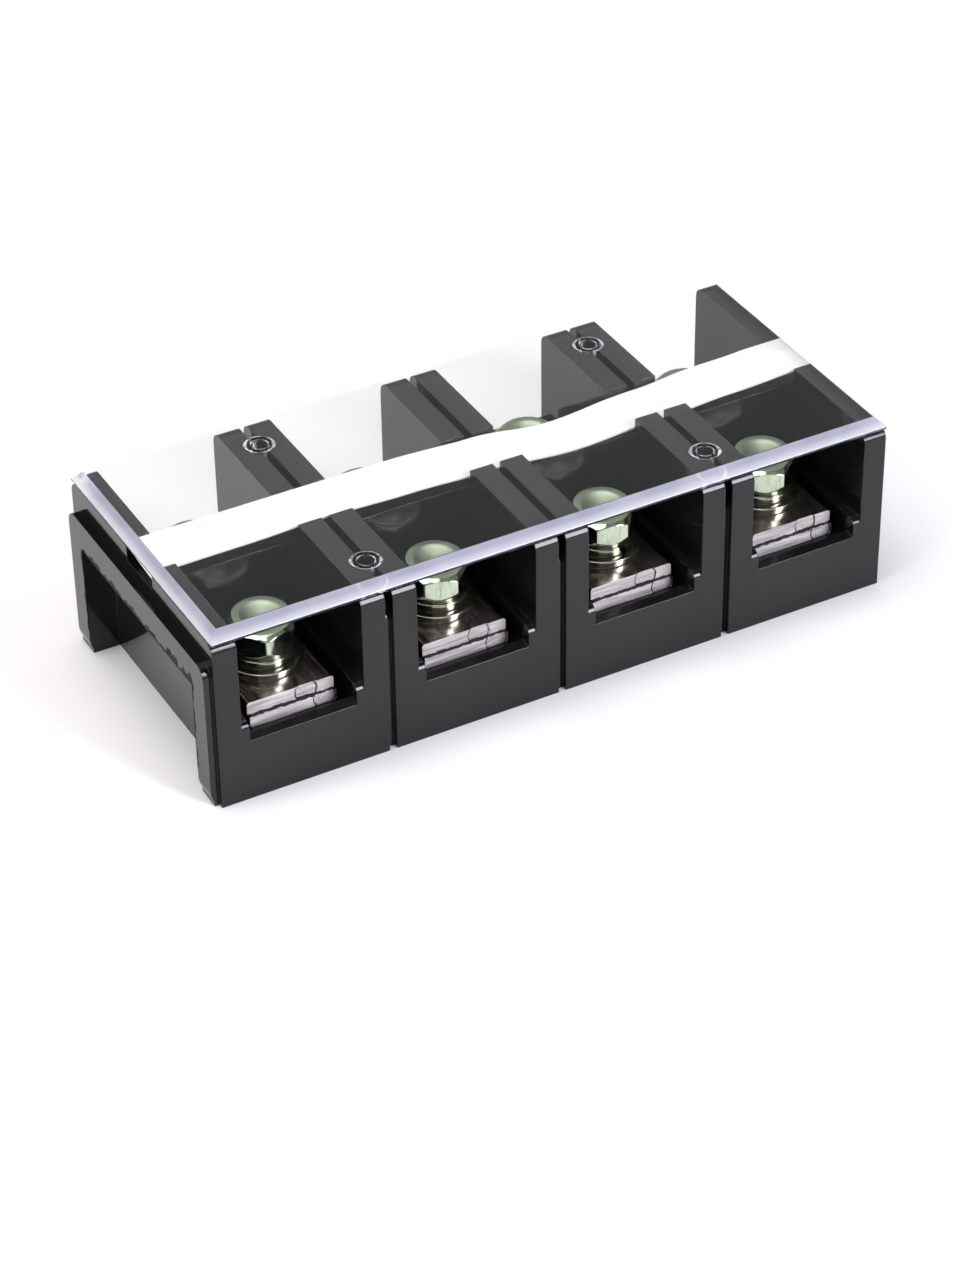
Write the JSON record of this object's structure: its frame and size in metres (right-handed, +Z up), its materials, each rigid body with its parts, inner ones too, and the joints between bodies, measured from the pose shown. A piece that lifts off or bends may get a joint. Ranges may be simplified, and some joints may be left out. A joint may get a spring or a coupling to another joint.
{
  "type": "terminal block",
  "caption": "Black moulded barrier terminal block: flat conductor bars with hex bolt and washer terminals between tall walls, a marker strip and a clear bevelled lift-off cover",
  "frame": {"origin": "centre of the base, at the underside of the poles", "axes": "X along the row of poles, Y from the front terminals to the back ones, Z upwards through the cover"},
  "size_m": [0.1518, 0.065, 0.0405],
  "materials": {
    "housing": "satin moulded",
    "bar": "bright plated",
    "bolt": "zinc plated",
    "washer": "zinc plated",
    "cover": "clear",
    "strip": "matt card"
  },
  "bodies": {
    "block": {"pole_housing_1": "housing", "lower_bar_1": "bar", "upper_bar_1": "bar", "pole_housing_2": "housing", "lower_bar_2": "bar", "upper_bar_2": "bar", "pole_housing_3": "housing", "lower_bar_3": "bar", "upper_bar_3": "bar", "pole_housing_4": "housing", "lower_bar_4": "bar", "upper_bar_4": "bar", "marker_strip": "strip"},
    "cover": {"clear_cover": "cover"},
    "washers_front_1": {"flat_washer_front_1": "washer", "spring_washer_front_1": "washer"},
    "bolt_front_1": {"terminal_bolt_front_1": "bolt"},
    "washers_front_2": {"flat_washer_front_2": "washer", "spring_washer_front_2": "washer"},
    "bolt_front_2": {"terminal_bolt_front_2": "bolt"},
    "washers_front_3": {"flat_washer_front_3": "washer", "spring_washer_front_3": "washer"},
    "bolt_front_3": {"terminal_bolt_front_3": "bolt"},
    "washers_front_4": {"flat_washer_front_4": "washer", "spring_washer_front_4": "washer"},
    "bolt_front_4": {"terminal_bolt_front_4": "bolt"},
    "washers_back_1": {"flat_washer_back_1": "washer", "spring_washer_back_1": "washer"},
    "bolt_back_1": {"terminal_bolt_back_1": "bolt"},
    "washers_back_2": {"flat_washer_back_2": "washer", "spring_washer_back_2": "washer"},
    "bolt_back_2": {"terminal_bolt_back_2": "bolt"},
    "washers_back_3": {"flat_washer_back_3": "washer", "spring_washer_back_3": "washer"},
    "bolt_back_3": {"terminal_bolt_back_3": "bolt"},
    "washers_back_4": {"flat_washer_back_4": "washer", "spring_washer_back_4": "washer"},
    "bolt_back_4": {"terminal_bolt_back_4": "bolt"}
  },
  "joints": [
    {"name": "cover_lift", "type": "slide", "parent": "block", "child": "cover", "axis": [0, 0, 1], "range_m": [0, 0.02]},
    {"name": "terminal_front_1_lift", "type": "slide", "parent": "block", "child": "washers_front_1", "axis": [0, 0, 1], "range_m": [0, 0.00625]},
    {"name": "terminal_front_1_turn", "type": "hinge", "parent": "washers_front_1", "child": "bolt_front_1", "pos_m": [-0.0561, -0.015, 0.0214], "axis": [0, 0, 1], "range_deg": [0, 1800]},
    {"name": "terminal_front_2_lift", "type": "slide", "parent": "block", "child": "washers_front_2", "axis": [0, 0, 1], "range_m": [0, 0.00625]},
    {"name": "terminal_front_2_turn", "type": "hinge", "parent": "washers_front_2", "child": "bolt_front_2", "pos_m": [-0.01815, -0.015, 0.0214], "axis": [0, 0, 1], "range_deg": [0, 1800]},
    {"name": "terminal_front_3_lift", "type": "slide", "parent": "block", "child": "washers_front_3", "axis": [0, 0, 1], "range_m": [0, 0.00625]},
    {"name": "terminal_front_3_turn", "type": "hinge", "parent": "washers_front_3", "child": "bolt_front_3", "pos_m": [0.0198, -0.015, 0.0214], "axis": [0, 0, 1], "range_deg": [0, 1800]},
    {"name": "terminal_front_4_lift", "type": "slide", "parent": "block", "child": "washers_front_4", "axis": [0, 0, 1], "range_m": [0, 0.00625]},
    {"name": "terminal_front_4_turn", "type": "hinge", "parent": "washers_front_4", "child": "bolt_front_4", "pos_m": [0.05775, -0.015, 0.0214], "axis": [0, 0, 1], "range_deg": [0, 1800]},
    {"name": "terminal_back_1_lift", "type": "slide", "parent": "block", "child": "washers_back_1", "axis": [0, 0, 1], "range_m": [0, 0.00625]},
    {"name": "terminal_back_1_turn", "type": "hinge", "parent": "washers_back_1", "child": "bolt_back_1", "pos_m": [-0.0561, 0.015, 0.0214], "axis": [0, 0, 1], "range_deg": [0, 1800]},
    {"name": "terminal_back_2_lift", "type": "slide", "parent": "block", "child": "washers_back_2", "axis": [0, 0, 1], "range_m": [0, 0.00625]},
    {"name": "terminal_back_2_turn", "type": "hinge", "parent": "washers_back_2", "child": "bolt_back_2", "pos_m": [-0.01815, 0.015, 0.0214], "axis": [0, 0, 1], "range_deg": [0, 1800]},
    {"name": "terminal_back_3_lift", "type": "slide", "parent": "block", "child": "washers_back_3", "axis": [0, 0, 1], "range_m": [0, 0.00625]},
    {"name": "terminal_back_3_turn", "type": "hinge", "parent": "washers_back_3", "child": "bolt_back_3", "pos_m": [0.0198, 0.015, 0.0214], "axis": [0, 0, 1], "range_deg": [0, 1800]},
    {"name": "terminal_back_4_lift", "type": "slide", "parent": "block", "child": "washers_back_4", "axis": [0, 0, 1], "range_m": [0, 0.00625]},
    {"name": "terminal_back_4_turn", "type": "hinge", "parent": "washers_back_4", "child": "bolt_back_4", "pos_m": [0.05775, 0.015, 0.0214], "axis": [0, 0, 1], "range_deg": [0, 1800]}
  ],
  "couplings": [
    {"joint": "terminal_front_1_lift", "follows": "terminal_front_1_turn", "m_per_rad": 0.00019894},
    {"joint": "terminal_front_2_lift", "follows": "terminal_front_2_turn", "m_per_rad": 0.00019894},
    {"joint": "terminal_front_3_lift", "follows": "terminal_front_3_turn", "m_per_rad": 0.00019894},
    {"joint": "terminal_front_4_lift", "follows": "terminal_front_4_turn", "m_per_rad": 0.00019894},
    {"joint": "terminal_back_1_lift", "follows": "terminal_back_1_turn", "m_per_rad": 0.00019894},
    {"joint": "terminal_back_2_lift", "follows": "terminal_back_2_turn", "m_per_rad": 0.00019894},
    {"joint": "terminal_back_3_lift", "follows": "terminal_back_3_turn", "m_per_rad": 0.00019894},
    {"joint": "terminal_back_4_lift", "follows": "terminal_back_4_turn", "m_per_rad": 0.00019894}
  ]
}
